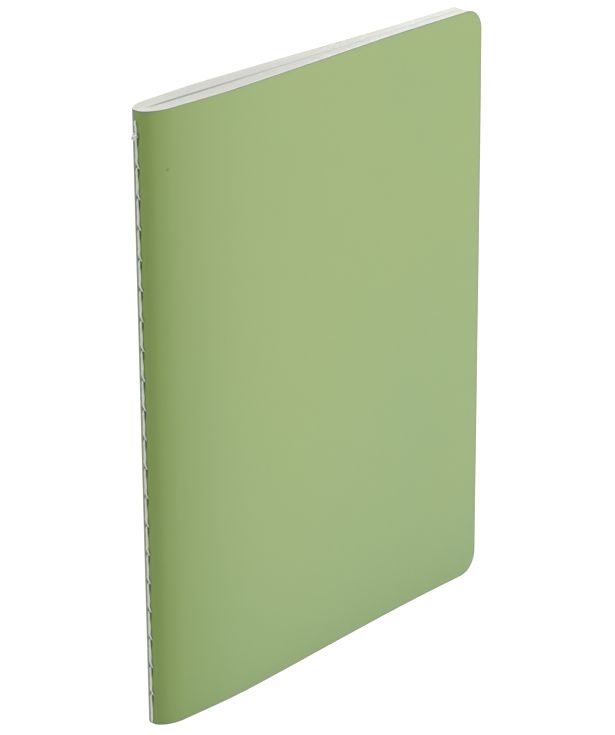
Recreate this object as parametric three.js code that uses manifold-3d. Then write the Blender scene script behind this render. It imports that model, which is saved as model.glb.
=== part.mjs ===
// A soft-cover pocket notebook, sewn through the fold, standing on its tail edge.
// Millimetres. X runs across the page from the spine to the fore-edge, Y through the
// thickness with the front cover at -Y, and Z from the tail edge up to the head.
import * as THREE from 'three';
import { mergeVertices } from 'three/addons/utils/BufferGeometryUtils.js';
import Module from 'manifold-3d';

const wasm = await Module();
wasm.setup();

// Overall format
const height = 140;
const width = 108;
const cornerRadius = 5;

// Stock
const cardThickness = 0.35;
const paperThickness = 0.11;
const sheetCount = 16;

// Spine: the stretch that the sewing holds, and the line beyond which a leaf turns
const hingeX = 7;
const hingeGap = 0.2;
const cardToPaper = 0.02;
const foldAir = 0.012;

// Air between two leaves at the hinge line, where the book swells most, and at the fore-edge
const airAtHinge = 0.098;
const airAtSwell = 0.14;
const airAtForeEdge = 0.02;
const swellX = 21;
const flatX = 91;

// Half of the opening in the middle of the section, and where it has closed
const centreGap = 0.3;
const closedGap = 0.02;
const closedX = 45;

// The pages are trimmed this much inside the cover card
const trimBack = 0.1;

// Sewing: needle thread outside, bobbin thread inside the middle fold
const needleThread = 0.5;
const bobbinThread = 0.3;
const stitchPitch = 6.7;
const firstHoleZ = 7.5;
const backstitch = 2.9;
const threadEndInset = 0.4;
const strandGap = 0.24;
const threadClearance = 0.03;
const holeClearance = 0.07;
const threadBend = 0.2;
const knotSize = [1.1, 0.9, 1.7];
const knotBelowHole = 1;

// Facets
const leafSteps = 7;
const foldSteps = 9;
const cornerSteps = 4;
const threadSides = 6;

const coverMaterial = new THREE.MeshStandardMaterial({ color: 0xa0b47c, roughness: 0.62, metalness: 0 });
const paperMaterial = new THREE.MeshStandardMaterial({ color: 0xe6e5dc, roughness: 0.9, metalness: 0 });
const threadMaterial = new THREE.MeshStandardMaterial({ color: 0xdfe3da, roughness: 0.85, metalness: 0 });

// A value that eases from one level to another with half a cosine wave.
function ease(from, to, share) {
  const t = THREE.MathUtils.clamp(share, 0, 1);
  return from + (to - from) * (1 - Math.cos(Math.PI * t)) / 2;
}

// Air between neighbouring leaves at a distance x from the spine.
function air(x) {
  if (x < swellX) {
    const share = Math.max(0, (x - hingeX) / (swellX - hingeX));
    return airAtHinge + (airAtSwell - airAtHinge) * Math.sin(share * Math.PI / 2);
  }
  return ease(airAtSwell, airAtForeEdge, (x - swellX) / (flatX - swellX));
}

// Half of the opening between the two middle leaves.
function centre(x) {
  return ease(centreGap, closedGap, (x - hingeX) / (closedX - hingeX));
}

// Middle of one leaf's thickness; leaf 0 lies under the cover.
function leafOffset(index, x) {
  return centre(x) + (sheetCount - index - 0.5) * (paperThickness + air(x));
}

// Middle of the cover card's thickness.
function cardOffset(x) {
  return centre(x) + sheetCount * (paperThickness + air(x)) + cardToPaper + cardThickness / 2;
}

const halfAtHinge = cardOffset(hingeX) + cardThickness / 2;
const firstFoldX = cardThickness + cardToPaper;
const foldPitch = paperThickness + foldAir;
const middleFoldX = firstFoldX + (sheetCount - 1) * foldPitch + paperThickness;

function toManifold(geometry) {
  const bare = geometry.clone();
  bare.deleteAttribute('normal');
  bare.deleteAttribute('uv');
  const merged = mergeVertices(bare, 1e-5);
  return new wasm.Manifold(new wasm.Mesh({
    numProp: 3,
    vertProperties: new Float32Array(merged.attributes.position.array),
    triVerts: new Uint32Array(merged.index.array),
  }));
}

function toGeometry(solid) {
  const mesh = solid.getMesh();
  const geometry = new THREE.BufferGeometry();
  geometry.setAttribute('position', new THREE.BufferAttribute(mesh.vertProperties, 3));
  geometry.setIndex(new THREE.BufferAttribute(mesh.triVerts, 1));
  geometry.computeVertexNormals();
  return geometry;
}

// A plan outline carried straight up from z = bottom.
function standing(points, bottom, top) {
  const shape = new THREE.Shape(points);
  const geometry = new THREE.ExtrudeGeometry(shape, { depth: top - bottom, bevelEnabled: false });
  return geometry.translate(0, 0, bottom);
}

// The trimmed outline of a cover or a leaf, seen square on, as a block through the thickness.
// Its two fore-edge corners are round.
function trimBlock(fromX, inset, radius) {
  const right = width - inset;
  const low = inset;
  const high = height - inset;
  const shape = new THREE.Shape();
  shape.moveTo(fromX, low);
  shape.lineTo(right - radius, low);
  shape.absarc(right - radius, low + radius, radius, -Math.PI / 2, 0, false);
  shape.lineTo(right, high - radius);
  shape.absarc(right - radius, high - radius, radius, 0, Math.PI / 2, false);
  shape.lineTo(fromX, high);
  const depth = 4 * halfAtHinge;
  const block = new THREE.ExtrudeGeometry(shape, { depth, bevelEnabled: false, curveSegments: cornerSteps });
  block.rotateX(Math.PI / 2);
  return block.translate(0, depth / 2, 0);
}

// A thin card or leaf: its plan section follows an offset curve, and the trim rounds its corners.
// Side -1 is the front half of the book and +1 the back half.
function flap(offset, thickness, side, inset) {
  const start = hingeX + hingeGap / 2;
  const bend = Math.min(flatX, width);
  const xs = [];
  for (let i = 0; i < leafSteps; i += 1) {
    const share = i / (leafSteps - 1);
    xs.push(start + (bend - start) * share);
  }
  xs.push(width + 1);
  const outer = xs.map((x) => new THREE.Vector2(x, side * (offset(x) + thickness / 2)));
  const inner = xs.map((x) => new THREE.Vector2(x, side * (offset(x) - thickness / 2)));
  const strip = standing([...outer, ...inner.reverse()], -1, height + 1);
  const block = trimBlock(start - 1, inset, cornerRadius - inset);
  return toGeometry(toManifold(strip).intersect(toManifold(block)));
}

// A fold round the spine: half an ellipse in plan, from the hinge line on one side to the other.
// Its middle facet lies flat on the nose line.
const foldEndX = hingeX - hingeGap / 2;
const halfFacet = Math.PI / foldSteps / 2;

function foldOutline(noseX, half, thickness) {
  const depth = foldEndX - noseX;
  const outer = [];
  const inner = [];
  for (let i = 0; i <= foldSteps; i += 1) {
    const turn = Math.PI * (i / foldSteps - 0.5);
    const reach = Math.cos(turn) / Math.cos(halfFacet);
    const across = Math.sin(turn);
    outer.push(new THREE.Vector2(foldEndX - depth * reach, (half + thickness / 2) * across));
    inner.push(new THREE.Vector2(foldEndX - (depth - thickness) * reach, (half - thickness / 2) * across));
  }
  return [...outer, ...inner.reverse()];
}

// Needle holes from the tail up: evenly spaced, with one close backstitch hole at the head end.
const holeCount = Math.floor((height - backstitch - firstHoleZ) / stitchPitch) + 1;
const holes = Array.from({ length: holeCount }, (unused, i) => firstHoleZ + i * stitchPitch);
const lastHole = holes[holes.length - 1] + backstitch;
holes.push(lastHole);

const needleRadius = needleThread / 2;
const bobbinRadius = bobbinThread / 2;
const strandOffset = needleRadius + strandGap / 2;
const outsideX = -(needleRadius + threadClearance);
const holeWidth = needleThread + 2 * holeClearance;
const holeHeight = 2 * (strandOffset + needleRadius + threadClearance);

// The bobbin thread lies as deep in the middle fold as its thickness lets it, and each loop
// of the needle thread reaches in just far enough to meet it.
const hollowDepth = foldEndX - middleFoldX;
const hollowHalf = (leafOffset(sheetCount - 1, hingeX) - paperThickness / 2) * Math.cos(halfFacet);
const bobbinShare = Math.min(1, (bobbinRadius + threadClearance) / hollowHalf);
const bobbinX = foldEndX - hollowDepth * Math.sqrt(1 - bobbinShare ** 2);
const loopX = bobbinX - bobbinRadius - needleRadius - threadClearance;

// Every needle hole as one cutter that reaches from outside the card into the middle fold.
function holeCutter() {
  const reach = loopX + 2 * needleRadius + 1;
  let cutter = null;
  for (const z of holes) {
    const box = new THREE.BoxGeometry(reach, holeWidth, holeHeight);
    box.translate(reach / 2 - 1, 0, z);
    const solid = toManifold(box);
    cutter = cutter ? cutter.add(solid) : solid;
  }
  return cutter;
}
const cutter = holeCutter();

function foldPiece(noseX, half, thickness, inset) {
  const outline = foldOutline(noseX, half, thickness);
  const solid = toManifold(standing(outline, inset, height - inset));
  return toGeometry(solid.subtract(cutter));
}

// A route through hand-set points, read exactly at those points.
class ThreadRoute extends THREE.Curve {
  constructor(points) {
    super();
    this.points = points;
  }

  at(u) {
    const last = this.points.length - 1;
    return THREE.MathUtils.clamp(Math.round(u * last), 0, last);
  }

  getPoint(t, target = new THREE.Vector3()) {
    return target.copy(this.points[this.at(t)]);
  }

  getPointAt(u, target) {
    return this.getPoint(u, target);
  }

  getTangentAt(u, target = new THREE.Vector3()) {
    const i = this.at(u);
    const before = this.points[Math.max(0, i - 1)];
    const after = this.points[Math.min(this.points.length - 1, i + 1)];
    return target.subVectors(after, before).normalize();
  }
}

function threadTube(points, radius) {
  const section = new THREE.Shape();
  for (let i = 0; i < threadSides; i += 1) {
    const turn = 2 * Math.PI * i / threadSides;
    const x = radius * Math.cos(turn);
    const y = radius * Math.sin(turn);
    if (i === 0) section.moveTo(x, y);
    else section.lineTo(x, y);
  }
  const extrudePath = new ThreadRoute(points);
  return new THREE.ExtrudeGeometry(section, { steps: points.length - 1, bevelEnabled: false, extrudePath });
}

// The needle thread lies along the outside of the spine and dips into each hole in a long loop.
function needleRoute() {
  const at = (x, z) => new THREE.Vector3(x, 0, z);
  const points = [at(outsideX, threadEndInset)];
  for (const z of holes) {
    points.push(at(outsideX, z - strandOffset - threadBend));
    points.push(at(outsideX + threadBend, z - strandOffset));
    points.push(at(loopX - strandOffset, z - strandOffset));
    points.push(at(loopX, z));
    points.push(at(loopX - strandOffset, z + strandOffset));
    points.push(at(outsideX + threadBend, z + strandOffset));
    points.push(at(outsideX, z + strandOffset + threadBend));
  }
  points.push(at(outsideX, lastHole + strandOffset + 2 * threadBend));
  return points;
}

// The bobbin thread runs straight up the middle fold, past every loop of the needle thread.
function bobbinRoute() {
  return [threadEndInset, lastHole + strandOffset].map((z) => new THREE.Vector3(bobbinX, 0, z));
}

const notebook = new THREE.Group();

function place(name, geometry, material) {
  const mesh = new THREE.Mesh(geometry, material);
  mesh.name = name;
  notebook.add(mesh);
}

place('front_cover', flap(cardOffset, cardThickness, -1, 0), coverMaterial);
place('back_cover', flap(cardOffset, cardThickness, 1, 0), coverMaterial);
place('cover_spine', foldPiece(0, cardOffset(hingeX), cardThickness, 0), coverMaterial);

for (let i = 0; i < sheetCount; i += 1) {
  const number = String(i + 1).padStart(2, '0');
  const offset = (x) => leafOffset(i, x);
  place(`front_leaf_${number}`, flap(offset, paperThickness, -1, trimBack), paperMaterial);
  place(`back_leaf_${number}`, flap(offset, paperThickness, 1, trimBack), paperMaterial);
  const fold = foldPiece(firstFoldX + i * foldPitch, offset(hingeX), paperThickness, trimBack);
  place(`sheet_fold_${number}`, fold, paperMaterial);
}

// The sewing ends in a small knot on the spine, over the last full stitch.
const knot = new THREE.SphereGeometry(0.5, 8, 6);
knot.scale(...knotSize);
const knotX = outsideX + needleRadius - knotSize[0] / 2;
knot.translate(knotX, 0, lastHole - backstitch - knotBelowHole);
const needle = toManifold(threadTube(needleRoute(), needleRadius)).add(toManifold(knot));
place('needle_thread', toGeometry(needle), threadMaterial);
place('bobbin_thread', threadTube(bobbinRoute(), bobbinRadius), threadMaterial);

// The origin stands under the middle of the whole object, knot included.
const lowX = knotX - knotSize[0] / 2;
notebook.position.x = -(lowX + width) / 2;

export default notebook;
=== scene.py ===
"""Looks of a soft-cover pocket notebook sewn through the fold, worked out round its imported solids.

Metres. X runs from the spine to the fore-edge, Y from the front cover to the back, Z up to the head.
Every sheet of card or paper is one closed skin. It follows a line across the book that starts on the
nose of the spine, goes round its own fold and runs out to the fore-edge.
"""

import math

import bpy
import numpy as np
from mathutils import Color, Matrix, Vector


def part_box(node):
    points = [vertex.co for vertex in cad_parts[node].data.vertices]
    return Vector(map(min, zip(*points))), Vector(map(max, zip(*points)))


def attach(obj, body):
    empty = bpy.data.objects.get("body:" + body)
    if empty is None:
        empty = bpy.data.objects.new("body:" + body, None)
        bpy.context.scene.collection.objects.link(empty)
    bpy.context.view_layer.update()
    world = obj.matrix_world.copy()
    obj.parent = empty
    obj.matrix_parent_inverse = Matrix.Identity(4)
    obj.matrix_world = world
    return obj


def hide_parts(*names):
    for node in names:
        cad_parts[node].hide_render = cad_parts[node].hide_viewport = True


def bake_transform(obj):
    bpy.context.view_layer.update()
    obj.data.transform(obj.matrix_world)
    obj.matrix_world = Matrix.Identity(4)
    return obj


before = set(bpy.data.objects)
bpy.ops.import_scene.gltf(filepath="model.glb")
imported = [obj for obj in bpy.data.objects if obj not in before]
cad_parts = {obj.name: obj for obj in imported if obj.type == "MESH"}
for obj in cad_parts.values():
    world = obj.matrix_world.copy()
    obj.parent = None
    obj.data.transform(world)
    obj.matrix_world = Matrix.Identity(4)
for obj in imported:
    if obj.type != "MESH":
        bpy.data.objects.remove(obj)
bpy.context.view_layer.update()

bl_info = {
    "name": "Sewn pocket notebook",
    "version": (1, 0, 0),
    "blender": (4, 5, 0),
    "location": "3D View > Sidebar > Notebook",
    "description": "Card cover, folded sheets and thread of a pocket notebook sewn through the fold",
    "category": "Add Mesh",
}

FRONT, BACK = -1, 1
SIDES = {"front": FRONT, "back": BACK}
EDGES = ("head", "tail", "fore")
SHEETS = sum(name.startswith("sheet_fold_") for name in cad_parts)
MM = 0.001

# Marks and painted shade on the card
NEAR_SPINE_SHADE = 12 * MM  # Reach of the painted shade, a deeper green, beside the spine where the card turns from the light
NOSE_SHADE = 3.2 * MM  # Half width of the band of painted shade along the spine's nose
OUTLINE_LINE = 0.28 * MM  # Width of the grey line painted along the outline
OUTLINE_SHADE = 5 * MM  # Painted shade darkens that line this near the spine
HOLE_SHADE = 0.55 * MM  # Reach of the painted shade round a needle hole
BACK_SHADE_PLACE, BACK_SHADE_WIDTH = 1.1 * MM, 0.6 * MM  # The line of painted shade on the back half of the nose, from the spine's middle
MOST_SHADE = 0.9  # The most that the painted shade covers the green
BACK_EDGE_SHADE = 0.35  # How grey the painted shade makes the cut edge of the back
SPECK = (-6.5 * MM, 0.17 * MM, 127.0 * MM)  # A place on the unfolded front
SPECK_SIZE = 0.45 * MM

# How the sheets sway
HELD = 2 * MM  # The stitches hold them still this far from the nose
CARD_SWAY_RUN = 30 * MM  # The sway grows over this length
PAGE_SWAY_RUN = 8 * MM
PAGE_CALM = 40 * MM  # The leaves sway less this near the fore-edge
PAGE_AIR = 0.13 * MM  # The most air between two leaves that counts
CARD_WAVES = (24, 18)  # How fine the waves are: units in a metre, across and up
PAGE_WAVES = (34, 22)

# Edges and holes of the sheets
CARD_TRIM = 0.02 * MM  # How far an edge of the card strays
TRIM_WAVES = {"card": 60, "page": 30}
PAGE_NICK = 0.006 * MM  # Softness of a leaf's edge
PAGE_HOLE = {FRONT: 0.5 * MM, BACK: 0.3 * MM}  # Reach of a needle hole in a sheet
EDGE_LIGHT_REACH = 0.5 * MM  # Reach of the painted light on the paper beside a cut edge
GAP_SHADE_REACH = 0.45 * MM  # Reach of the painted shade on the brink of the gap in the middle
GAP_START, GAP_RUN = 1 * MM, 5 * MM  # Where that gap opens, from the nose of its fold

# Places read from the frame
SPINE_LOW, SPINE_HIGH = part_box("cover_spine")
COVER_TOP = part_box("front_cover")[1].z
BOBBIN_LOW, BOBBIN_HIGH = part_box("bobbin_thread")
NOSE_X = SPINE_LOW.x
HINGE_X = SPINE_HIGH.x
BOBBIN_X = (BOBBIN_LOW.x + BOBBIN_HIGH.x) / 2
BOBBIN_WIDTH = BOBBIN_HIGH.y - BOBBIN_LOW.y


def node_points(name):
    """The corner points of a CAD node as an array of rows."""
    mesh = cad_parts[name].data
    points = np.empty(len(mesh.vertices) * 3, np.float32)
    mesh.vertices.foreach_get("co", points)
    return points.reshape(-1, 3).astype(float)


def hole_levels():
    """Heights of the needle holes: the middles of the ledges that the holes leave in the spine."""
    levels = np.unique(np.round(node_points("cover_spine")[:, 2], 6))
    return levels[1:-1].reshape(-1, 2).mean(1)


HOLES = hole_levels()
OPEN_HOLES = HOLES[:-1]  # The uppermost closes round the thread


# The sizes and colours that a user may change

def quantity(name, value, description, **kind):
    return bpy.props.FloatProperty(name=name, description=description, default=value, **kind)


def length(name, value, description, low=0.0):
    return quantity(name, value, description, min=low, unit="LENGTH", precision=5)


def share(name, value, description):
    return quantity(name, value, description, min=0, max=1, subtype="FACTOR")


def power(name, value, description):
    return quantity(name, value, description, min=0, unit="POWER")


def angle(name, degrees, description):
    return quantity(name, math.radians(degrees), description, subtype="ANGLE")


def colour(name, value, description):
    """A colour property. The value is given as the red, green and blue of a screen, from 0 to 255."""
    levels = np.array(value) / 255
    linear = np.where(levels <= 0.04045, levels / 12.92, ((levels + 0.055) / 1.055) ** 2.4)
    return bpy.props.FloatVectorProperty(name=name, description=description, default=tuple(linear),
                                         size=3, min=0, max=1, subtype="COLOR")


class NotebookShape(bpy.types.PropertyGroup):
    corner: length("Corner radius", 5 * MM, "Rounding of the two fore-edge corners")
    bend: length("Bend length", 10 * MM, "How far from the hinge line a leaf bends when it is turned")
    nick: length("Edge softness", 0.05 * MM, "Width of the softened edge of the card")
    groove: length("Groove depth", 0.09 * MM, "How deep the thread lies in the card")
    groove_width: length("Groove width", 0.34 * MM, "Half width of the groove under the thread")
    dimple: length("Dimple depth", 0.2 * MM, "How far the card is drawn in round a needle hole")
    dimple_size: length("Dimple size", 0.75 * MM, "Reach of the dimple round a needle hole")
    slit: length("Slit depth", 0.28 * MM, "Depth of the tear that the thread pulls beside it")
    slit_place: length("Slit place", 0.3 * MM, "How far to the front of the nose the tear lies")
    slit_width: length("Slit width", 0.1 * MM, "Half width of the tear", 0.02 * MM)
    slit_drop: length("Slit drop", 0.35 * MM, "How far below its hole the tear starts")
    slit_run: length("Slit length", 2.1 * MM, "How far the tear runs down", 0.2 * MM)
    hole_front: length("Hole, front half", 0.6 * MM, "Reach of a needle hole round the nose's front")
    hole_back: length("Hole, back half", 0.28 * MM, "Reach of a needle hole round the nose's back")
    hole_height: length("Hole height", 0.45 * MM, "Half height of a needle hole", 0.1 * MM)
    hole_drop: length("Hole drop", 0.15 * MM, "How far the thread has pulled a needle hole down")
    sway: length("Card sway", 0.07 * MM, "How far the cover card waves out of its plane")
    page_sway: share("Page sway", 0.42, "Part of the air between two leaves that they may wave into")
    trim: length("Trim unevenness", 0.016 * MM, "How far the edge of a leaf strays from the others")


class NotebookThread(bpy.types.PropertyGroup):
    width: length("Needle thread", 0.45 * MM, "Thickness of the thread where it is tight", 0.1 * MM)
    belly: length("Belly", 0.15 * MM, "How much thicker a stitch is over its slack lower part")
    plies: bpy.props.IntProperty(
        name="Plies", description="Yarns laid up in the thread", default=3, min=2)
    lay: length("Lay", 1.7 * MM, "Length of one turn of the twist", 0.2 * MM)
    sunk: length("Sunk", 0.07 * MM, "How deep the thread sits below the face of the spine")
    hook: length("Hook", 0.42 * MM, "How far the lower end of a stitch swings to the front")
    knot: length("Knot", 1.15 * MM, "Height of the knot below the backstitch")
    fibres: bpy.props.IntProperty(
        name="Fibres", description="Loose fibres on the thread", default=70, min=0)


class NotebookColours(bpy.types.PropertyGroup):
    card: colour("Card", (163, 185, 125), "Outside of the cover")
    card_warm: colour("Card, warm patches", (168, 186, 120), "Soft patches in the cover")
    card_cool: colour("Card, cool patches", (152, 181, 131), "Soft patches in the cover")
    # Painted shade: the deeper green beside the spine stands for the card turning from the light
    card_spine_shade: colour("Card, creased", (125, 150, 69), "Card that the fold of the spine has worked")
    # Painted shade in the tear, round the needle holes and along the nose, and a speck of dirt
    card_shade_and_speck: colour("Card, torn", (45, 52, 38), "Card in the holes and tears beside the thread")
    # A grey line painted along the outline, and painted shade on the back half of the nose and the
    # back's cut edge
    card_grey_and_shade: colour("Card, rubbed", (136, 138, 136), "Line that the knife leaves along the outline")
    core: colour("Card core", (229, 232, 224), "Cut edge of the card")
    lining: colour("Card inside", (226, 226, 216), "Inside of the cover")
    paper: colour("Paper", (233, 233, 226), "Pages")
    # Painted light: paper lighter beside its cut edges, in the gaps between the leaves
    paper_edge_light: colour("Paper, toned", (238, 239, 233), "Pages right beside their cut edges")
    # Painted shade on the brink of the gap in the middle of the book
    paper_gap_shade: colour("Paper, dim", (202, 202, 197), "Brink of the gap in the middle of the book")
    paper_edge: colour("Paper edge", (219, 220, 214), "Cut edges of the pages")
    thread: colour("Thread", (244, 248, 241), "Sewing thread")
    thread_shade: colour("Thread, in the lay", (190, 197, 192), "Hollows between the plies")


class NotebookStage(bpy.types.PropertyGroup):
    focal: length("Focal length", 156.98 * MM, "Lens of the camera, on a sensor 36 mm long")
    place: bpy.props.FloatVectorProperty(
        name="Camera place", description="From the foot of the spine's nose", unit="LENGTH",
        default=(-438.865 * MM, -445.991 * MM, 330.353 * MM), size=3, subtype="XYZ")
    heading: angle("Heading", 47.701, "Turn of the view from the Y axis towards X")
    dip: angle("Dip", 21.55, "How far the view looks down")
    roll: angle("Roll", -0.413, "Turn about the line of sight")
    key: power("Key light", 7.45, "Power of the large lamp")
    fill: power("Fill light", 4.2, "Power of the lamp beside the spine")
    top: power("Top light", 10.3, "Power of the lamp overhead")
    ambient: share("Room light", 0.45, "Level of the light from all round")
    glow: quantity("White", 1.2, "Level of the floor's own white to the camera", min=0)
    shadow: share("Shadow", 0.24, "How much of the floor's white comes from the light on it")


# Lines and surfaces

def smooth_line(points, count):
    """A smooth line through given points, and its arc length.

    Between two points the place is a cubic whose slope at each point is the central difference over
    the lengths of the chords beside it. Returns count points and the running length at each.
    """
    chords = np.linalg.norm(np.diff(points, axis=0), axis=1)
    knots = np.concatenate([[0], np.cumsum(chords)])
    slopes = np.gradient(points, knots, axis=0)
    t = np.linspace(0, knots[-1], count)
    i = np.clip(np.searchsorted(knots, t, side="right") - 1, 0, len(knots) - 2)
    span = (knots[i + 1] - knots[i])[:, None]
    u = (t - knots[i])[:, None] / span
    line = ((1 + 2 * u) * (1 - u) ** 2 * points[i] + u * (1 - u) ** 2 * span * slopes[i]
            + u * u * (3 - 2 * u) * points[i + 1] - u * u * (1 - u) * span * slopes[i + 1])
    run = np.concatenate([[0], np.cumsum(np.linalg.norm(np.diff(line, axis=0), axis=1))])
    return line, run


def waves(seed, *where):
    """A smooth value from about -1 to 1 over the given coordinates, each in waves of its own unit.

    It is a third of the sum of six cosines, whose directions and starts come from the seed.
    """
    chance = np.random.default_rng(seed)
    total = 0
    for _ in range(6):
        phase = chance.uniform(0, 2 * math.pi)
        for part in where:
            phase = phase + part * chance.normal(0, 2.2)
        total = total + np.cos(phase)
    return total / 3


def bell(distance, reach, power=2):
    """1 at no distance, and exp(-(distance / reach) ** power) away from it."""
    return np.exp(-(distance / reach) ** power)


def rise(distance, start, run):
    """0 up to the start, and from there evenly up to 1 over the run."""
    return np.clip((distance - start) / run, 0, 1)


class Section:
    """The line of one sheet across half of the book, seen from the head, and its outward normal.

    Round the nose it is an ellipse: x is the hinge less the depth times the cosine of a turn, and y the
    half width times its sine. From the hinge out it passes through the middle of the CAD leaf at each
    of its stations.
    """

    def __init__(self, fold, flap):
        points = node_points(flap)
        stations = np.unique(np.round(points[:, 0], 5))
        same = 0.02 * MM
        near = [np.abs(points[np.abs(points[:, 0] - x) < same, 1]) for x in stations]
        middle = np.array([(y.min() + y.max()) / 2 for y in near])
        self.thickness = float(near[0].max() - near[0].min())
        low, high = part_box(fold)
        nose = low.x + self.thickness / 2
        half = high.y - self.thickness / 2
        turn = np.radians(np.arange(0, 81, 8))
        round_x = HINGE_X - (HINGE_X - nose) * np.cos(turn)
        round_y = half * np.sin(turn)
        far = stations[-1] + 1 * MM
        across = np.stack([np.append(round_x, np.append(stations, far)),
                           np.append(round_y, np.append(middle, middle[-1]))], 1)
        self.line, self.run = smooth_line(across, 3000)
        tangent = np.gradient(self.line, self.run, axis=0)
        tangent /= np.linalg.norm(tangent, axis=1)[:, None]
        self.normal = np.stack([-tangent[:, 1], tangent[:, 0]], 1)
        self.end = float(np.interp(stations[-1], self.line[:, 0], self.run))
        self.hinge = float(np.interp(HINGE_X, self.line[:, 0], self.run))
        self.low = float(points[:, 2].min())
        self.high = float(points[:, 2].max())

    def at(self, s):
        """x, y and the normal's x and y at the lengths s along the line."""
        return [np.interp(s, self.run, column) for column in (*self.line.T, *self.normal.T)]


def skin(section, side, rows, levels, nick, corner, lift, start, stray):
    """Points, flat places and faces of a closed sheet that follows a section line.

    A face point is (x(s) + h nx, side (y(s) + h ny), z): s runs from the nose to the fore-edge, h is
    half the thickness, out or in, and z keeps to the outline, whose fore-edge corners are quarter
    circles. Both faces stop short of the outline by the nick, and a rim of two more loops joins them.
    rows are shares of the line up to where the corner starts, and levels shares of the height.
    lift(s, z) moves the sheet along its normal, and sinks the outer face by a second value.
    start(z) is where the sheet begins beside the nose, and stray(edge, place) how far an edge strays.
    A flat place is where a point lies on the unfolded sheet: (side s, h, z). The finish of a face is
    0 outside, 1 on the cut edge and 2 inside.
    """
    quarter = np.linspace(0, math.pi / 2, 8)[1:]
    start_reach = 2 * MM
    at_edge = 8

    def place(inset, h, sunk, row, level):
        radius = corner - inset
        flat = section.end - corner
        on_corner = np.maximum(row - 1, 0)
        along = np.where(row <= 1, row * flat, flat + radius * np.sin(on_corner))
        cut = inset + radius - np.sqrt(np.maximum(radius ** 2 - np.maximum(along - flat, 0) ** 2, 0))
        z = section.low + cut + (section.high - section.low - 2 * cut) * level
        z = z + stray("head", along) * level ** at_edge + stray("tail", along) * (1 - level) ** at_edge
        along = along + start(z) * np.clip(1 - along / start_reach, 0, 1)
        along = along + stray("fore", z) * np.clip((along - flat) / corner, 0, 1)
        x, y, nx, ny = section.at(along)
        out, dent = lift(along, z)
        out = out + h - (dent if sunk else 0)
        point = np.stack([x + out * nx, side * (y + out * ny), z], -1).reshape(-1, 3)
        return point, np.stack([side * along, h + 0 * along, z], -1).reshape(-1, 3)

    row = np.concatenate([rows, 1 + quarter])[:, None]
    level = levels[None, :]
    grid = np.arange(row.size * level.size).reshape(row.size, level.size)
    ring = np.concatenate([grid[:-1, 0], grid[-1, :-1], grid[:0:-1, -1], grid[0, :0:-1]])
    ring_row = np.broadcast_to(row, grid.shape).ravel()[ring]
    ring_level = np.broadcast_to(level, grid.shape).ravel()[ring]
    half = section.thickness / 2
    loops = [place(nick, half, True, row, level), place(0, half - nick, True, ring_row, ring_level),
             place(0, nick - half, False, ring_row, ring_level), place(nick, -half, False, row, level)]
    points = np.concatenate([loop[0] for loop in loops])
    flat_places = np.concatenate([loop[1] for loop in loops])
    first = np.cumsum([0] + [len(loop[0]) for loop in loops[:-1]])
    quads = np.stack([grid[:-1, :-1], grid[1:, :-1], grid[1:, 1:], grid[:-1, 1:]], -1).reshape(-1, 4)
    turn = np.arange(len(ring))
    after = np.roll(turn, -1)

    def strip(a, b):
        return np.stack([a[turn], b[turn], b[after], a[after]], 1)

    chamfer_out = strip(ring + first[0], turn + first[1])
    edge = strip(turn + first[1], turn + first[2])
    chamfer_in = strip(turn + first[2], ring + first[3])
    faces = np.concatenate([quads, chamfer_out, edge, chamfer_in, quads[:, ::-1] + first[3]])
    finish = np.repeat([0, 1, 2], [len(quads) + len(ring), len(ring), len(ring) + len(quads)])
    if side == BACK:
        faces = faces[:, ::-1]
    return points, flat_places, faces.tolist(), finish


def to_outline(flat, section, corner):
    """How far flat places are from the sheet's outline: to the nearest straight edge, or near a
    fore-edge corner to its quarter circle, where that is nearer."""
    s, z = np.abs(flat[:, 0]), flat[:, 2]
    edge = np.minimum(z - section.low, section.high - z)
    past = np.maximum(s - (section.end - corner), 0)
    below = np.maximum(corner - edge, 0)
    rounded = corner - np.hypot(past, below)
    return np.maximum(np.where((past > 0) & (below > 0), rounded, np.minimum(edge, section.end - s)), 0)


def make_piece(name, points, faces, materials, finish=None, crease=35):
    """A mesh object in its place, smooth but for edges sharper than the crease angle in degrees."""
    mesh = bpy.data.meshes.new(name)
    mesh.from_pydata(points.tolist(), [], faces)
    for material in materials:
        mesh.materials.append(material)
    if finish is not None:
        mesh.polygons.foreach_set("material_index", finish.astype(np.int32))
    mesh.shade_smooth()
    mesh.set_sharp_from_angle(angle=math.radians(crease))
    mesh.update()
    if mesh.validate():
        raise RuntimeError(f"{name} has faulty faces")
    piece = bpy.data.objects.new(name, mesh)
    bpy.context.scene.collection.objects.link(piece)
    return piece


def add_values(piece, **values):
    """Numbers or places for the points of a piece, under names that its material can read."""
    for name, each in values.items():
        kind, field = ("FLOAT", "value") if each.ndim == 1 else ("FLOAT_VECTOR", "vector")
        attribute = piece.data.attributes.new(name, kind, "POINT")
        attribute.data.foreach_set(field, each.astype(np.float32).ravel())


# Finishes

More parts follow.
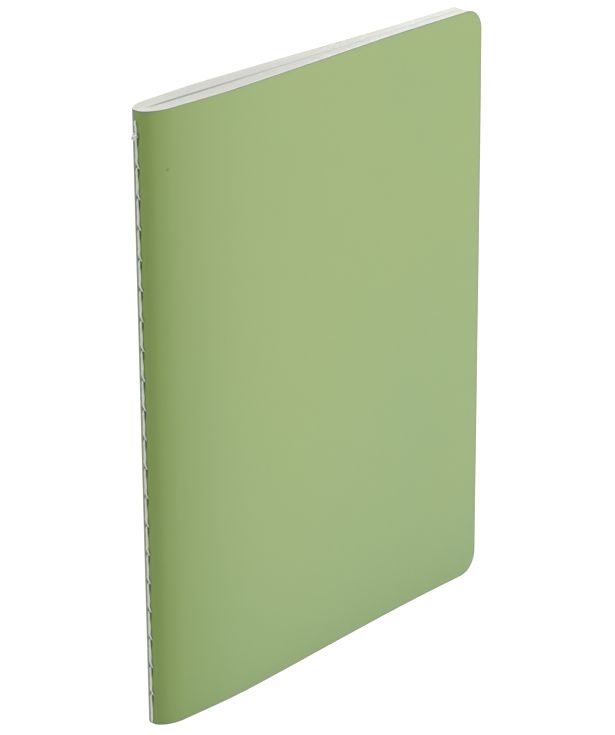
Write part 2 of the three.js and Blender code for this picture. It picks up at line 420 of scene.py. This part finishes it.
class Nodes:
    """A node tree that is built a node at a time."""

    def __init__(self, owner):
        owner.use_nodes = True
        self.nodes = owner.node_tree.nodes
        self.links = owner.node_tree.links

    def plug(self, socket, value):
        if isinstance(value, bpy.types.NodeSocket):
            self.links.new(value, socket)
        elif value is not None:
            socket.default_value = (*value, 1.0) if isinstance(value, Color) else value

    def fill(self, node, inputs):
        for name, value in inputs.items():
            self.plug(node.inputs[name], value)

    def add(self, kind, output, inputs, **settings):
        """An output of a new node, whose settings and inputs are made first."""
        node = self.nodes.new("ShaderNode" + kind)
        for name, value in settings.items():
            setattr(node, name, value)
        self.fill(node, inputs)
        return node.outputs[output]

    def ramp(self, value, low, high, out_low=0.0, out_high=1.0):
        """A value between low and high carried to between out_low and out_high, and held outside."""
        return self.add("MapRange", "Result", {"From Min": low, "From Max": high, "To Min": out_low,
                                               "To Max": out_high, "Value": value})

    def math(self, operation, a, b=None):
        return self.add("Math", "Value", {0: a, 1: b}, operation=operation)

    def seen(self):
        """1 for a ray that the camera, a gloss or a glass sends, and 0 for the rest."""
        path = self.nodes.new("ShaderNodeLightPath").outputs
        total = self.math("MAXIMUM", path["Is Camera Ray"], path["Is Glossy Ray"])
        return self.math("MAXIMUM", total, path["Is Transmission Ray"])


class Finish(Nodes):
    """A node material with a Principled surface.

    Its patterns lie on the unfolded sheet where the piece has flat places, and so stay on the card
    and paper as they bend. On thread they lie in space.
    """

    def __init__(self, name, roughness, specular, sheen=0.0, flat=True):
        self.material = bpy.data.materials.new(name)
        super().__init__(self.material)
        self.surface = self.nodes["Principled BSDF"]
        self.fill(self.surface, {"Roughness": roughness, "Specular IOR Level": specular,
                                 "Sheen Weight": sheen})
        self.place = self.attribute("flat", "Vector") if flat else self.add("TexCoord", "Object", {})

    def noise(self, scale, detail, roughness=0.5, stretch=(1, 1, 1)):
        place = self.add("Mapping", "Vector", {"Scale": stretch, "Vector": self.place})
        return self.add("TexNoise", "Fac", {"Scale": scale, "Detail": detail, "Roughness": roughness,
                                            "Vector": place})

    def mix(self, factor, a, b, blend="MIX"):
        return self.add("Mix", "Result", {"Factor": factor, "A": a, "B": b},
                        data_type="RGBA", blend_type=blend)

    def coordinate(self, axis):
        return self.add("SeparateXYZ", axis, {"Vector": self.place})

    def distance(self, spot):
        return self.add("VectorMath", "Value", {0: self.place, 1: spot}, operation="DISTANCE")

    def attribute(self, name, output="Fac"):
        return self.add("Attribute", output, {}, attribute_name=name)

    def bump(self, height, distance, strength, under=None):
        return self.add("Bump", "Normal", {"Strength": strength, "Distance": distance,
                                           "Height": height, "Normal": under})

    def done(self, base, normal=None, roughness=None):
        self.fill(self.surface, {"Base Color": base, "Normal": normal, "Roughness": roughness})
        return self.material


def card_outside(colours):
    """Coated green card: soft warm and cool patches, fine tooth, a speck of dirt and a grey line along
    the outline.
    Painted shade: a deeper green beside the spine, a darker band along its nose, dark in the tear,
    round each needle hole and on the outline near the spine, and a grey line on the back half of the
    nose."""
    card = Finish("card_outside", roughness=0.52, specular=0.42)
    across = card.math("ABSOLUTE", card.coordinate("X"))
    band = card.math("MULTIPLY", card.ramp(across, 8 * MM, 40 * MM),
                     card.ramp(across, 45 * MM, 80 * MM, 1.0, 0.0))
    warm = card.math("MAXIMUM", card.ramp(card.noise(scale=26, detail=3), 0.42, 0.68), band)
    cool = card.ramp(card.noise(scale=17, detail=3, stretch=(1.3, 1, 0.7)), 0.5, 0.72)
    base = card.mix(card.math("MULTIPLY", warm, 0.6), colours.card, colours.card_warm)
    base = card.mix(card.math("MULTIPLY", cool, 0.45), base, colours.card_cool)
    foot = card.ramp(card.coordinate("Z"), 0.0, 100 * MM, 0.5, 0.0)
    base = card.mix(foot, base, colours.card_cool)
    # Painted shade beside the spine, as a deeper green
    base = card.mix(card.attribute("bent"), base, colours.card_spine_shade)
    # Grey line painted along the outline, and painted shade on the back half of the nose
    mottle = card.ramp(card.noise(scale=520, detail=3), 0.3, 0.7, 0.6, 1.0)
    rubbed = card.math("MULTIPLY", card.attribute("rubbed"), mottle)
    base = card.mix(rubbed, base, colours.card_grey_and_shade)
    # Painted shade in the tear, round the holes and along the nose, and a speck of dirt
    speck = card.ramp(card.distance(SPECK), 0.1 * MM, SPECK_SIZE, 0.4, 0.0)
    base = card.mix(card.math("MAXIMUM", card.attribute("torn"), speck), base, colours.card_shade_and_speck)
    tooth = card.noise(scale=4200, detail=4, roughness=0.6)
    grain = card.ramp(tooth, 0.25, 0.75, 0.965, 1.03)
    grey = card.add("CombineColor", "Color", {"Red": grain, "Green": grain, "Blue": grain})
    base = card.mix(1.0, base, grey, "MULTIPLY")
    normal = card.bump(tooth, 0.012 * MM, 0.6)
    normal = card.bump(card.noise(scale=420, detail=3), 0.03 * MM, 0.35, normal)
    shine = card.ramp(card.noise(scale=900, detail=3), 0.3, 0.7, 0.47, 0.58)
    return card.done(base, normal, shine)


def card_edge(colours):
    """Cut edge of the card: pale core fibres with green carried over by the knife, greyed on the back
    by painted shade.
    """
    edge = Finish("card_edge", roughness=0.85, specular=0.3)
    smear = edge.ramp(edge.noise(scale=1500, detail=3, stretch=(1, 1, 0.4)), 0.5, 0.8, 0.0, 0.15)
    base = edge.mix(smear, colours.core, colours.card)
    # Painted shade greys the back cover's cut edge
    base = edge.mix(edge.attribute("dim"), base, colours.card_grey_and_shade)
    return edge.done(base, edge.bump(edge.noise(scale=6000, detail=3), 0.02 * MM, 0.6))


def card_inside(colours):
    """Uncoated inner face of the card."""
    inside = Finish("card_inside", roughness=0.8, specular=0.3)
    fibres = inside.noise(scale=2600, detail=4, roughness=0.65, stretch=(1, 1, 0.45))
    base = inside.mix(inside.ramp(fibres, 0.3, 0.7), 0.93 * colours.lining, colours.lining)
    tooth = inside.noise(scale=3800, detail=4, roughness=0.6)
    return inside.done(base, inside.bump(tooth, 0.012 * MM, 0.6))


def paper_face(colours):
    """Uncoated book paper with a cloudy formation and short fibres."""
    paper = Finish("paper_face", roughness=0.88, specular=0.25)
    cloud = paper.ramp(paper.noise(scale=380, detail=4, roughness=0.6), 0.35, 0.7)
    base = paper.mix(cloud, 0.965 * colours.paper, colours.paper)
    # Painted light beside the cut edges
    base = paper.mix(paper.attribute("toned"), base, colours.paper_edge_light)
    # Painted shade on the brink of the middle gap
    base = paper.mix(paper.attribute("dim"), base, colours.paper_gap_shade)
    fibre = paper.noise(scale=5200, detail=3, roughness=0.6, stretch=(1, 1, 0.4))
    return paper.done(base, paper.bump(fibre, 0.008 * MM, 0.5))


def paper_edge(colours):
    """Cut edges of the pages, a little darker in soft patches, in streaks from sheet to sheet and
    towards the spine.
    """
    edge = Finish("paper_edge", roughness=0.9, specular=0.2)
    patches = edge.ramp(edge.noise(scale=160, detail=3, roughness=0.6), 0.35, 0.7, 0.7)
    clean = edge.math("MULTIPLY", patches, edge.attribute("clean"))
    base = edge.mix(clean, 0.8 * colours.paper_edge, colours.paper_edge)
    return edge.done(base, edge.bump(edge.noise(scale=7000, detail=3), 0.01 * MM, 0.35))


def thread_finish(colours):
    """Soft spun thread: shaded in the hollows of the lay, with fine fibres along each ply."""
    thread = Finish("thread", roughness=0.82, specular=0.25, sheen=0.25, flat=False)
    base = thread.mix(thread.attribute("hollow"), colours.thread, colours.thread_shade)
    hair = thread.noise(scale=9000, detail=3, roughness=0.7, stretch=(1, 1, 0.3))
    lint = thread.ramp(thread.noise(scale=2200, detail=3), 0.35, 0.7, 0.0, 0.25)
    base = thread.mix(lint, base, colours.thread_shade)
    return thread.done(base, thread.bump(hair, 0.03 * MM, 0.7))


def finish_of(name, make, colours):
    """The material of that name, made once."""
    return bpy.data.materials.get(name) or make(colours)


# Pieces

def show(piece, slot, *nodes):
    """Hide the CAD nodes that a piece stands for."""
    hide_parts(*nodes)


def levels_for(steps, brink, near, least_step):
    """Shares of the height: even steps, with more at both ends and round every needle hole.

    The brink, the places near a hole and the least step are in millimetres. The outermost hundredth
    at each end has no places of a hole.
    """
    height = SPINE_HIGH.z - SPINE_LOW.z
    brink = np.array(brink) * MM / height
    close = ((HOLES[:, None] + np.array(near) * MM - SPINE_LOW.z) / height).ravel()
    close = close[np.abs(close - 0.5) < 0.49]
    levels = np.unique(np.concatenate([np.linspace(0, 1, steps), brink, 1 - brink, close]))
    return levels[np.append(True, np.diff(levels) > least_step * MM / height)]


def from_hole(z, drop):
    """How far heights are from the nearest level that lies the drop below an open needle hole."""
    return np.min(np.abs(z[..., None] - OPEN_HOLES + drop), -1)


def round_hole(z, reach, shape):
    """How far a needle hole cuts back the edge beside the nose: half an ellipse at each hole."""
    gap = from_hole(z, shape.hole_drop) / shape.hole_height
    return reach * np.sqrt(np.maximum(1 - gap ** 2, 0))


class NOTEBOOK_OT_cover(bpy.types.Operator):
    """Make the card cover as a front and a back half that meet under the stitches."""

    bl_idname = "notebook.cover"
    bl_label = "Cover"

    def execute(self, context):
        shape = context.scene.notebook_shape
        colours = context.scene.notebook_colours
        finishes = [finish_of("card_outside", card_outside, colours),
                    finish_of("card_edge", card_edge, colours),
                    finish_of("card_inside", card_inside, colours)]
        near = [-2.8, -2.5, -2.1, -1.6, -1.1, -0.8, -0.5, -0.3, -0.12, 0.12, 0.3, 0.5, 0.8, 1.3]
        levels = np.round(levels_for(46, [0.06, 0.14, 0.24, 0.36, 0.6, 1.2], near, 0.059), 6)
        for half, side in SIDES.items():
            self.make_half(half, side, shape, finishes, levels)
        return {"FINISHED"}

    def make_half(self, half, side, shape, finishes, levels):
        section = Section("cover_spine", f"{half}_cover")
        reach = shape.hole_front if side == FRONT else shape.hole_back

        def torn(s, z):
            """The tear beside the thread: a bell across it, and a flat-topped run below each hole. It
            shapes the tear and the painted shade in it.
            """
            middle = from_hole(z, shape.slit_drop + shape.slit_run / 2)
            run = np.clip(1 - (2 * middle / shape.slit_run) ** 4, 0, 1)
            return (side == FRONT) * run * bell(s - shape.slit_place, shape.slit_width)

        def lift(s, z):
            gap = from_hole(z, shape.hole_drop)
            groove = shape.groove * bell(s, shape.groove_width)
            dimple = shape.dimple * np.exp(-(gap ** 2 + s ** 2) / shape.dimple_size ** 2)
            wave = waves(11 + side, s * CARD_WAVES[0], z * CARD_WAVES[1])
            sway = shape.sway * rise(s, HELD, CARD_SWAY_RUN) * wave
            return sway, np.maximum(groove + dimple, shape.slit * torn(s, z))

        def start(z):
            return round_hole(z, reach, shape)

        def stray(edge, where):
            return CARD_TRIM * waves(40 + EDGES.index(edge), where * TRIM_WAVES["card"])

        # Rows across the sheet, closest at the groove and the holes
        near = np.array([0, 0.09, 0.18, 0.26, 0.33, 0.4, 0.47, 0.54, 0.63, 0.75, 0.95, 1.2, 1.5, 1.9,
                         2.4, 3, 3.6, 4.2]) * MM
        flat_end = section.end - shape.corner
        bend = np.linspace(4.9 * MM, section.hinge + shape.bend + 2 * MM, 26)
        board = np.linspace(bend[-1], flat_end, 26)[1:]
        rows = np.concatenate([near, bend, board]) / flat_end
        points, flat, faces, finish = skin(section, side, rows, levels, shape.nick, shape.corner,
                                           lift, start, stray)
        piece = make_piece(f"cover_{half}", points, faces, finishes, finish)
        s, z = np.abs(flat[:, 0]), flat[:, 2]
        # Painted shade round each needle hole
        hole = np.exp(-((from_hole(z, shape.hole_drop) ** 2 + s ** 2) / HOLE_SHADE ** 2) ** 2)
        # A grey line painted along the outline
        rim = bell(to_outline(flat, section, shape.corner), OUTLINE_LINE)
        # Painted shade on the back half of the nose
        back_shade = 0.7 * (side == BACK) * bell(s - BACK_SHADE_PLACE, BACK_SHADE_WIDTH, 4)
        # Painted shade: in the tear, round the holes, on the outline near the spine, on the back of the
        # nose and in a band along the nose
        dark = (0.9 * torn(s, z) + 0.9 * hole + 0.4 * rim * bell(s, OUTLINE_SHADE, 4) + 0.3 * back_shade
                + 0.16 * bell(s, NOSE_SHADE, 4))
        # Painted shade beside the spine, in the dark places and on the back's cut edge; a grey line
        # painted along the outline
        add_values(piece, flat=flat, bent=bell(s, NEAR_SPINE_SHADE, 1), torn=np.clip(dark, 0, MOST_SHADE),
                   rubbed=np.maximum(rim, back_shade), dim=np.full(len(s), BACK_EDGE_SHADE * (side == BACK)))
        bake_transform(piece)
        if side == FRONT:
            show(piece, "cover_card", "front_cover", "cover_spine")
        else:
            show(piece, "cover_card", "back_cover")


class NOTEBOOK_OT_sheets(bpy.types.Operator):
    """Make both leaves of every folded sheet, from the fold's nose to the fore-edge."""

    bl_idname = "notebook.sheets"
    bl_label = "Sheets"

    def execute(self, context):
        shape = context.scene.notebook_shape
        colours = context.scene.notebook_colours
        face = finish_of("paper_face", paper_face, colours)
        finishes = [face, finish_of("paper_edge", paper_edge, colours), face]
        levels = levels_for(22, [0.15, 0.4, 0.9, 1.8], [-0.45, -0.3, 0, 0.3, 0.45], 0.1)
        for half, side in SIDES.items():
            for number in range(1, SHEETS + 1):
                self.make_leaf(half, side, number, shape, finishes, levels)
        return {"FINISHED"}

    def make_leaf(self, half, side, number, shape, finishes, levels):
        fold = f"sheet_fold_{number:02d}"
        leaf = f"{half}_leaf_{number:02d}"
        section = Section(fold, leaf)
        outer_fold = f"sheet_fold_{number - 1:02d}" if number > 1 else "cover_spine"
        air = min((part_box(outer_fold)[1].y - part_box(fold)[1].y) - section.thickness, PAGE_AIR)
        seed = 100 * number + side

        def lift(s, z):
            away = rise(s, HELD, PAGE_SWAY_RUN) * np.clip((section.end - s) / PAGE_CALM, 0.1, 1)
            wave = np.clip(waves(seed, s * PAGE_WAVES[0], z * PAGE_WAVES[1]), -1, 1)
            return shape.page_sway * air * away * wave, 0 * s

        def start(z):
            return round_hole(z, PAGE_HOLE[side], shape)

        def stray(edge, where):
            return shape.trim * waves(seed + 7 * EDGES.index(edge), where * TRIM_WAVES["page"])

        flat_end = section.end - shape.corner
        round_nose = np.linspace(0, section.hinge, 9)
        bend = np.linspace(section.hinge, section.hinge + shape.bend + 1 * MM, 9)[1:]
        page = np.linspace(bend[-1], flat_end, 13)[1:]
        rows = np.concatenate([round_nose, bend, page]) / flat_end
        points, flat, faces, finish = skin(section, side, rows, levels, PAGE_NICK, shape.corner,
                                           lift, start, stray)
        piece = make_piece(f"page_{half}_{number:02d}", points, faces, finishes, finish)
        s = np.abs(flat[:, 0])
        outline = to_outline(flat, section, shape.corner)
        opened = rise(s, GAP_START, GAP_RUN)
        streak = np.clip(waves(7 + side, number * 0.45 + 0 * s, flat[:, 0] * 14), -1, 1)
        # Painted light beside the cut edges, and painted shade on the brink of the middle gap
        add_values(piece, flat=flat, toned=bell(outline, EDGE_LIGHT_REACH, 1),
                   dim=(number == SHEETS) * opened * bell(outline, GAP_SHADE_REACH),
                   clean=0.4 + 0.4 * streak + 0.2 * s / section.end)
        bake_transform(piece)
        if side == FRONT:
            show(piece, "paper", leaf, fold)
        else:
            show(piece, "paper", leaf)


def tube_faces(tubes, steps, sides, first=0):
    """Faces of closed tubes, whose points come by tube, step and side and start at the first index."""
    index = first + np.arange(tubes * steps * sides).reshape(tubes, steps, sides)
    beside = np.roll(index, -1, 2)
    quads = np.stack([index[:, :-1], beside[:, :-1], beside[:, 1:], index[:, 1:]], -1).reshape(-1, 4)
    return quads.tolist() + index[:, 0, ::-1].tolist() + index[:, -1].tolist()


def laid_thread(name, route, thread, material, lay_share=1.0, tail=0.6 * MM):
    """A laid-up thread along a route of rows x, y, z and the thread's width there.

    Each ply's middle is route + r (cos a N + sin a B), where a grows by a full turn in each lay, N
    and B are square to the route, and r keeps the plies touching. Each ply is a tube about its middle
    that narrows over the tail at both ends. It is shaded more where it faces the other plies, and
    where the thread is slack.
    """
    plies, lay = thread.plies, thread.lay * lay_share
    sides, step = 8, 0.16 * MM
    chords = np.linalg.norm(np.diff(route, axis=0), axis=1)
    line, run = smooth_line(route, int(4 * chords.sum() / step))
    even = np.linspace(0, run[-1], int(run[-1] / step))
    line = np.stack([np.interp(even, run, column) for column in line.T], 1)
    reach = 1 / math.sin(math.pi / plies)
    line, width = line[:, :3], line[:, 3:]
    thin = width / 2 / (1 + reach)
    slack = (width - width.min()) / max(np.ptp(width), 0.1 * MM)
    points, faces, hollow = [], [], []
    ring = np.linspace(0, 2 * math.pi, sides, endpoint=False)

    def square_to(path):
        tangent = np.gradient(path, axis=0)
        tangent /= np.linalg.norm(tangent, axis=1)[:, None]
        first = np.cross((0, 1, 0), tangent)
        first /= np.linalg.norm(first, axis=1)[:, None]
        return first, np.cross(tangent, first)

    for ply in range(plies):
        normal, other = square_to(line)
        twist = (2 * math.pi * (even / lay + ply / plies))[:, None]
        offset = thin * reach * (np.cos(twist) * normal + np.sin(twist) * other)
        middle = line + offset
        normal, other = square_to(middle)
        taper = np.sqrt(np.clip(np.minimum(even, run[-1] - even) / tail, 0.02, 1))[:, None, None]
        spoke = (np.cos(ring)[None, :, None] * normal[:, None]
                 + np.sin(ring)[None, :, None] * other[:, None])
        tube = middle[:, None] + thin[:, None] * taper * spoke
        outward = np.einsum("ij,ikj->ik", offset / (thin * reach), spoke)
        points.append(tube.reshape(-1, 3))
        faces += tube_faces(1, len(even), sides, ply * len(even) * sides)
        hollow.append(np.clip(0.3 - 0.8 * outward + 0.7 * slack, 0, 1).ravel())
    piece = make_piece(name, np.concatenate(points), faces, [material], crease=70)
    add_values(piece, hollow=np.concatenate(hollow))
    return piece


def needle_route(thread):
    """The needle thread's waypoints with its width at each, from its end at the tail to the last hole.

    Seen on the spine, a stitch comes out of its lower hole at the front, swings in to the nose, is
    slack and thick over its lower part, and goes tight into its upper hole. Inside the book it runs
    in to the bobbin thread, round it and back. The short stitch at the head swings less below, under
    the knot, and ends blunt above.
    """
    tight, slack = thread.width, thread.width + thread.belly
    out = NOSE_X - tight / 2 + thread.sunk
    deep = BOBBIN_X - BOBBIN_WIDTH / 2 - tight / 2
    hook, aside = thread.hook, thread.belly / 2
    inside = [(out + 0.08 * MM, 0.07 * MM, -0.5 * MM, 0.72 * tight),
              (out + 0.5 * MM, 0.12 * MM, -0.38 * MM, 0.7 * tight),
              (out + 1 * MM, 0.08 * MM, -0.26 * MM, tight), (deep - 0.5 * MM, 0, -0.3 * MM, tight),
              (deep, 0, 0, tight), (deep - 0.5 * MM, 0, 0.3 * MM, tight),
              (out + 1.6 * MM, -0.25 * MM, 0.1 * MM, tight),
              (out + 0.95 * MM, -0.9 * hook, -0.4 * MM, tight)]
    lower_end = [(out + 0.55 * MM, -1.15 * hook, -0.55 * MM, 0.5 * tight),
                 (out + 0.24 * MM, -1.1 * hook, -0.32 * MM, 0.55 * tight),
                 (out + 0.06 * MM, -0.9 * hook, 0, 0.66 * tight),
                 (out, -0.5 * hook, 0.42 * MM, 0.85 * tight),
                 (out, -0.1 * hook, 0.95 * MM, 0.5 * (tight + slack))]
    below_knot = [(x, 0.4 * y, z, width) for x, y, z, width in lower_end]
    blunt_end = [(out, 0.2 * MM, -0.3 * MM, 1.1 * tight),
                 (out + 0.25 * MM, 0.24 * MM, -0.05 * MM, tight),
                 (out + 0.8 * MM, 0.2 * MM, 0, tight), (out + 1.5 * MM, 0.05 * MM, -0.1 * MM, tight),
                 (deep - 0.5 * MM, 0, -0.34 * MM, tight)]
    long_stitch = 4 * MM
    rows = [(out + 0.1 * MM, 0, SPINE_LOW.z + 0.3 * MM, tight),
            (out, -aside, SPINE_LOW.z + 1.2 * MM, slack)]
    for i, z in enumerate(HOLES):
        below = z - (HOLES[i - 1] if i else SPINE_LOW.z)
        if below > long_stitch:
            rows += [(out, -1.2 * aside, z - 0.66 * below, slack),
                     (out, -0.9 * aside, z - 0.5 * below, slack),
                     (out, -0.1 * aside, z - 0.33 * below, tight)]
        rows.append((out, 0.03 * MM, z - 0.95 * MM, tight))
        if i == len(HOLES) - 1:
            end = blunt_end
        else:
            end = inside + (below_knot if i == len(HOLES) - 2 else lower_end)
        rows += [(x, y, z + dz, width) for x, y, dz, width in end]
    return np.array(rows)


class NOTEBOOK_OT_sewing(bpy.types.Operator):
    """Make the needle thread with its knot, and the bobbin thread inside the middle fold."""

    bl_idname = "notebook.sewing"
    bl_label = "Sewing"

    def execute(self, context):
        thread = context.scene.notebook_thread
        material = finish_of("thread", thread_finish, context.scene.notebook_colours)
        needle = laid_thread("needle_stitches", needle_route(thread), thread, material)
        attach(needle, "spine")
        show(needle, "thread", "needle_thread")
        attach(self.make_knot(thread, material), "spine")
        levels = np.sort(np.concatenate([HOLES, HOLES[:-1] + np.diff(HOLES) / 2,
                                         [BOBBIN_LOW.z + 0.2 * MM, BOBBIN_HIGH.z]]))
        pulled = np.min(np.abs(levels[:, None] - HOLES), 1) < 0.1 * MM
        route = np.stack([BOBBIN_X - 0.06 * MM * pulled, 0 * levels, levels,
                          0 * levels + BOBBIN_WIDTH], 1)
        bobbin = laid_thread("bobbin_thread_laid", route, thread, material, lay_share=0.6)
        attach(bobbin, "spine")
        show(bobbin, "thread", "bobbin_thread")
        return {"FINISHED"}

    def make_knot(self, thread, material):
        """The thread wound a little over three times round itself, with a short end.

        Down the knot the place is (middle - r cos a, r sin a + aside, top - height t and a small sway),
        where t runs from 0 to 1, a grows evenly with it and r is widest halfway. No part of it goes
        deeper than the spine allows.
        """
        winds, points = 3.2, 33
        top = HOLES[-2] + 0.25 * MM
        middle = NOSE_X - 0.54 * MM
        deepest = NOSE_X + 0.1 * MM
        aside = 0.1 * MM
        turn = np.linspace(0, 2 * winds * math.pi, points)
        fall = np.linspace(0, 1, points)
        wide = 0.24 * MM + 0.2 * MM * np.sin(math.pi * fall)
        x = np.minimum(middle - wide * np.cos(turn) * 0.9, deepest)
        y = wide * np.sin(turn) + aside
        z = top - thread.knot * fall + 0.1 * MM * np.sin(turn * 0.5)
        end = [(x[-1] - 0.1 * MM, y[-1] + 0.2 * MM, z[-1] + 0.1 * MM),
               (x[-1] - 0.2 * MM, y[-1] + 0.4 * MM, z[-1] + 0.3 * MM)]
        route = np.concatenate([np.stack([x, y, z], 1), end])
        width = np.full(len(route), 0.48 * MM)
        route = np.column_stack([route, width])
        piece = laid_thread("knot", route, thread, material, lay_share=0.7, tail=0.3 * MM)
        return piece


class NOTEBOOK_OT_fibres(bpy.types.Operator):
    """Make the loose fibres that stand off the needle thread, the first of them a longer wisp.

    Each is a tube that narrows. Its middle runs t times its length from its foot, tilted up by the
    lean and to the back by the side, plus a curl that grows with t squared.
    """

    bl_idname = "notebook.fibres"
    bl_label = "Loose fibres"

    def execute(self, context):
        thread = context.scene.notebook_thread
        material = finish_of("thread", thread_finish, context.scene.notebook_colours)
        chance = np.random.default_rng(5)
        count, steps, sides = thread.fibres, 6, 3
        foot_z = chance.uniform(SPINE_LOW.z + 2 * MM, HOLES[-1], count)
        run = chance.uniform(0.3, 0.9, count) * MM
        lean = chance.uniform(-1.1, 1.1, count)
        side = chance.uniform(-0.9, 0.9, count)
        thick = np.full(count, 0.018 * MM)
        for values, wisp in ((foot_z, 18.3 * MM), (run, 1.5 * MM), (lean, -0.3), (side, 1.0),
                             (thick, 0.054 * MM)):
            values[:1] = wisp
        t = np.linspace(0, 1, steps)[None, :]
        curl = chance.uniform(-0.5, 0.5, count)[:, None] * t ** 2
        grow = run[:, None] * t
        x = NOSE_X - thread.width * 0.6 - grow * np.cos(lean)[:, None] * np.cos(side)[:, None]
        y = grow * np.sin(side)[:, None] + run[:, None] * curl
        z = foot_z[:, None] + grow * np.sin(lean)[:, None] + run[:, None] * curl * 0.6
        middle = np.stack([x, y, z], -1)
        ring = np.linspace(0, 2 * math.pi, sides, endpoint=False)
        thin = (thick[:, None] * (1 - 0.8 * t))[..., None, None]
        spoke = np.stack([0.5 * np.cos(ring), np.sin(ring), np.cos(ring)], -1)
        tube = middle[:, :, None] + thin * spoke[None, None]
        faces = tube_faces(count, steps, sides)
        piece = make_piece("loose_fibres", tube.reshape(-1, 3), faces, [material])
        add_values(piece, hollow=np.zeros(len(piece.data.vertices)))
        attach(piece, "spine")
        return {"FINISHED"}


class NOTEBOOK_OT_stage(bpy.types.Operator):
    """Make the floor, the lamps, the room light and the camera."""

    bl_idname = "notebook.stage"
    bl_label = "Stage"

    # Where each lamp stands from the middle of the notebook, and how wide it is
    LAMPS = {"key": ((0.75, -1.15, 0.62), 0.9), "fill": ((-1.2, 0.4, 0.4), 0.7),
             "top": ((-0.1, 0.1, 1.3), 0.8)}

    def execute(self, context):
        scene = context.scene
        stage = scene.notebook_stage
        scene.view_settings.view_transform = "Standard"
        self.floor(stage)
        self.room(scene, stage)
        middle = Vector((0, 0, COVER_TOP / 2))
        for name, (offset, size) in self.LAMPS.items():
            self.lamp(name, middle, Vector(offset), size, getattr(stage, name))
        self.camera(scene, stage)
        return {"FINISHED"}

    def floor(self, stage):
        """A large pale floor, seen by the camera as white less the shadow of the object."""
        reach = 40.0
        level = SPINE_LOW.z - 0.02 * MM
        corners = [(-reach, -reach, level), (reach, -reach, level), (reach, reach, level),
                   (-reach, reach, level)]
        mesh = bpy.data.meshes.new("floor")
        mesh.from_pydata(corners, [], [(0, 1, 2, 3)])
        floor = bpy.data.objects.new("floor", mesh)
        bpy.context.scene.collection.objects.link(floor)
        finish = Finish("floor", roughness=1, specular=0)
        glow = finish.add("Emission", "Emission", {"Strength": stage.glow})
        white = finish.math("MULTIPLY", finish.seen(), 1 - stage.shadow)
        both = finish.add("MixShader", "Shader",
                          {"Fac": white, 1: finish.surface.outputs["BSDF"], 2: glow})
        finish.fill(finish.nodes["Material Output"], {"Surface": both})
        mesh.materials.append(finish.done((0.8, 0.8, 0.8, 1)))

    def room(self, scene, stage):
        """Soft light from all round, and white to the camera."""
        scene.world = bpy.data.worlds.new("room")
        room = Nodes(scene.world)
        strength = room.ramp(room.seen(), 0, 1, stage.ambient, 1.0)
        room.fill(room.nodes["Background"], {"Color": (1, 1, 1, 1), "Strength": strength})

    def lamp(self, name, aim, offset, size, energy):
        light = bpy.data.lights.new(name, "AREA")
        light.shape = "DISK"
        light.size = size
        light.energy = energy
        lamp = bpy.data.objects.new(name, light)
        lamp.location = aim + offset
        lamp.rotation_euler = (-offset).to_track_quat("-Z", "Y").to_euler()
        bpy.context.scene.collection.objects.link(lamp)

    def camera(self, scene, stage):
        """A camera that looks along its heading, dipped and then rolled about its line of sight."""
        lens = bpy.data.cameras.new("camera")
        lens.sensor_width = 36
        lens.lens = stage.focal / MM
        lens.clip_start = 0.01
        lens.clip_end = 50
        heading, dip, roll = stage.heading, stage.dip, stage.roll
        ahead = Vector((math.sin(heading) * math.cos(dip), math.cos(heading) * math.cos(dip),
                        -math.sin(dip)))
        level = Vector((math.cos(heading), -math.sin(heading), 0))
        upward = level.cross(ahead)
        right = math.cos(roll) * level + math.sin(roll) * upward
        top = math.cos(roll) * upward - math.sin(roll) * level
        camera = bpy.data.objects.new("camera", lens)
        camera.matrix_world = Matrix((right, top, -ahead)).transposed().to_4x4()
        camera.location = Vector((NOSE_X, 0, SPINE_LOW.z)) + Vector(stage.place)
        scene.collection.objects.link(camera)
        scene.camera = camera


class NOTEBOOK_PT_panel(bpy.types.Panel):
    """Buttons for the pieces, with the sizes and colours that they read."""

    bl_idname = "NOTEBOOK_PT_panel"
    bl_label = "Sewn notebook"
    bl_space_type = "VIEW_3D"
    bl_region_type = "UI"
    bl_category = "Notebook"

    def draw(self, context):
        for operator in OPERATORS:
            self.layout.operator(operator.bl_idname)
        for group in GROUPS:
            box = self.layout.box()
            for name in GROUPS[group].__annotations__:
                box.prop(getattr(context.scene, group), name)


GROUPS = {"notebook_shape": NotebookShape, "notebook_thread": NotebookThread,
          "notebook_colours": NotebookColours, "notebook_stage": NotebookStage}
OPERATORS = (NOTEBOOK_OT_stage, NOTEBOOK_OT_cover, NOTEBOOK_OT_sheets, NOTEBOOK_OT_sewing,
             NOTEBOOK_OT_fibres)


def register():
    for kind in (*GROUPS.values(), *OPERATORS, NOTEBOOK_PT_panel):
        bpy.utils.register_class(kind)
    for name, group in GROUPS.items():
        setattr(bpy.types.Scene, name, bpy.props.PointerProperty(type=group))


def unregister():
    for name in GROUPS:
        delattr(bpy.types.Scene, name)
    for kind in reversed((*GROUPS.values(), *OPERATORS, NOTEBOOK_PT_panel)):
        bpy.utils.unregister_class(kind)


def main():
    register()
    bpy.ops.notebook.stage()
    bpy.ops.notebook.cover()
    bpy.ops.notebook.sheets()
    bpy.ops.notebook.sewing()
    bpy.ops.notebook.fibres()


if __name__ == "__main__":
    main()
